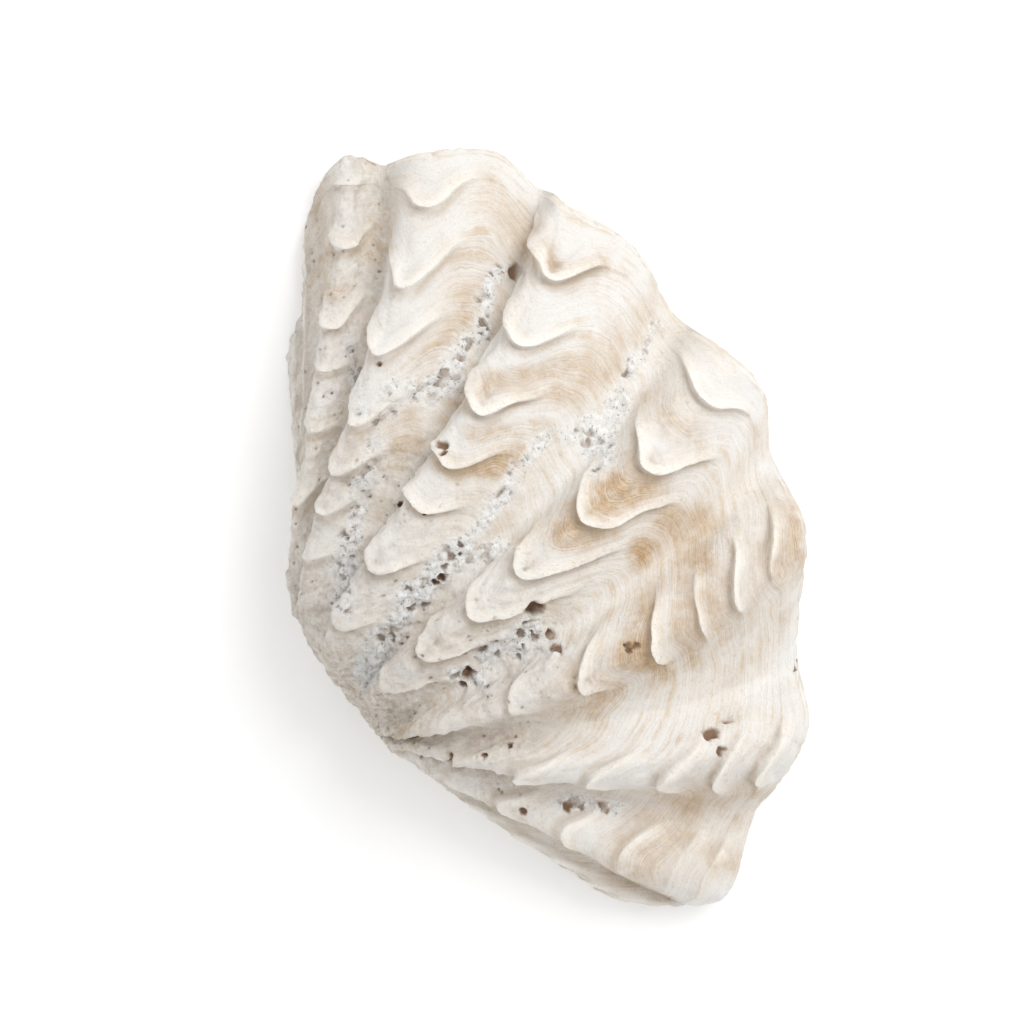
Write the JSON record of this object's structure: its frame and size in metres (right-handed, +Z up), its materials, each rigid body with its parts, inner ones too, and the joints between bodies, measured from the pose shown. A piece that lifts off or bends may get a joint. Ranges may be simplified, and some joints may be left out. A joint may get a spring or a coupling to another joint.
{
  "type": "clam shell valve",
  "caption": "Single weathered clam shell valve with broad scaly ribs and a scalloped margin, lying hollow side down, for display or for natural set dressing.",
  "frame": {"origin": "Middle of the valve's footprint, on the surface that its rim and hinge plate rest on", "axes": "+X along the valve's length, from its long side to its short side; +Y from the hinge line to the scalloped lower margin; +Z up, from the hollow side to the ribbed outside"},
  "size_m": [0.2269, 0.1418, 0.0562],
  "materials": {
    "shell": "weathered chalky shell: matt and granular outside, smooth satin inside"
  },
  "bodies": {
    "root": {"clam_valve": "shell"}
  },
  "joints": []
}
